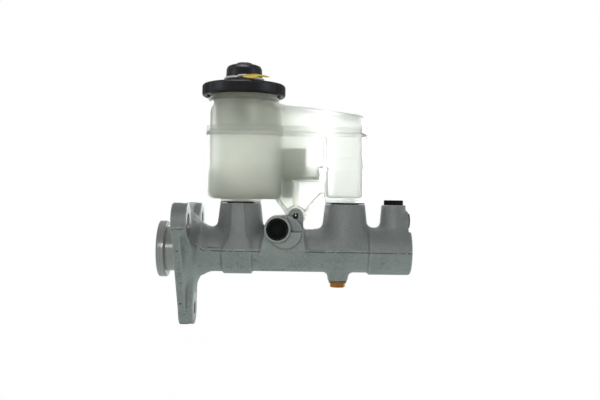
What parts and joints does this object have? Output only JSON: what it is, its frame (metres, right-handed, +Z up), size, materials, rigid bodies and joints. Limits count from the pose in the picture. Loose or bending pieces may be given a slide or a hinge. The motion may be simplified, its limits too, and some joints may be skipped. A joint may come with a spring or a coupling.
{
  "type": "tandem brake master cylinder",
  "caption": "Tandem hydraulic brake master cylinder with stepped mounting spigot, triangular flange and translucent two-chamber fluid reservoir under a screw cap.",
  "frame": {"origin": "on the flange face that rests on the booster, on the centre plane, 31 mm straight below the bore axis", "axes": "+X along the bore towards the closed front end, +Z up through the supply towers and filler cap, -Y out of the side port"},
  "size_m": [0.1891, 0.1014, 0.198],
  "materials": {
    "cast_aluminium": "as-cast die-cast aluminium with machined faces",
    "seal_rubber": "matt black EPDM",
    "spring_steel": "bare spring steel",
    "yellow_zinc": "yellow-zinc plated steel",
    "gasket_metal": "soft crush washer",
    "plug_plastic": "black polyethylene",
    "seat_brass": "turned",
    "piston_aluminium": "anodised",
    "reservoir_plastic": "translucent natural polypropylene",
    "strainer_plastic": "natural polypropylene",
    "float_plastic": "grey foamed nylon",
    "cap_plastic": "black polypropylene, satin moulded",
    "strap_plastic": "grey nylon",
    "tag_plastic": "yellow vinyl"
  },
  "bodies": {
    "housing": {"cylinder_body": "cast_aluminium", "rear_supply_grommet": "seal_rubber", "front_supply_grommet": "seal_rubber", "reservoir_pin": "spring_steel", "stopper_bolt": "yellow_zinc", "stopper_gasket": "gasket_metal", "side_port_seat": "seat_brass", "top_port_seat": "seat_brass", "snap_ring": "spring_steel", "stop_washer": "spring_steel", "reservoir_lower": "reservoir_plastic", "reservoir_upper": "reservoir_plastic", "strainer": "strainer_plastic", "level_switch": "strainer_plastic", "secondary_spring": "spring_steel"},
    "primary_group": {"primary_piston": "piston_aluminium", "primary_rear_seal": "seal_rubber", "cup_spacer": "spring_steel", "primary_cup": "seal_rubber", "cage_screw": "spring_steel"},
    "secondary_group": {"secondary_piston": "piston_aluminium", "secondary_rear_cup": "seal_rubber", "secondary_middle_cup": "seal_rubber", "secondary_front_cup": "seal_rubber", "secondary_spring_seat": "spring_steel", "primary_spring_seat": "spring_steel", "primary_spring": "spring_steel"},
    "float_group": {"float": "float_plastic"},
    "seal_group": {"cap_seal": "seal_rubber"},
    "cap_group": {"cap_shell": "cap_plastic", "tag_strap": "strap_plastic", "cap_tag": "tag_plastic"},
    "side_plug_group": {"side_port_plug": "plug_plastic"},
    "top_plug_group": {"top_port_plug": "plug_plastic"},
    "forward_plug_group": {"forward_port_plug": "plug_plastic"}
  },
  "joints": [
    {"name": "primary_stroke", "type": "slide", "parent": "housing", "child": "primary_group", "axis": [1, 0, 0], "range_m": [0, 0.024], "stiffness_N_per_m": 1500, "deforming": ["primary_spring"]},
    {"name": "secondary_stroke", "type": "slide", "parent": "housing", "child": "secondary_group", "axis": [1, 0, 0], "range_m": [0, 0.012], "stiffness_N_per_m": 1200, "deforming": ["secondary_spring"]},
    {"name": "float_rise", "type": "slide", "parent": "housing", "child": "float_group", "axis": [0, 0, 1], "range_m": [0, 0.014]},
    {"name": "cap_lift", "type": "slide", "parent": "housing", "child": "seal_group", "axis": [0, 0, 1], "range_m": [0, 0.03]},
    {"name": "cap_turn", "type": "hinge", "parent": "seal_group", "child": "cap_group", "pos_m": [0.046, 0, 0.151], "axis": [0, 0, 1], "range_deg": [0, 150]},
    {"name": "side_plug_pull", "type": "slide", "parent": "housing", "child": "side_plug_group", "axis": [0, -1, 0], "range_m": [0, 0.014]},
    {"name": "top_plug_pull", "type": "slide", "parent": "housing", "child": "top_plug_group", "axis": [0, 0, 1], "range_m": [0, 0.014]},
    {"name": "forward_plug_pull", "type": "slide", "parent": "housing", "child": "forward_plug_group", "axis": [1, 0, 0], "range_m": [0, 0.01]}
  ],
  "couplings": [
    {"joint": "secondary_stroke", "follows": "primary_stroke", "ratio": 0.5}
  ]
}
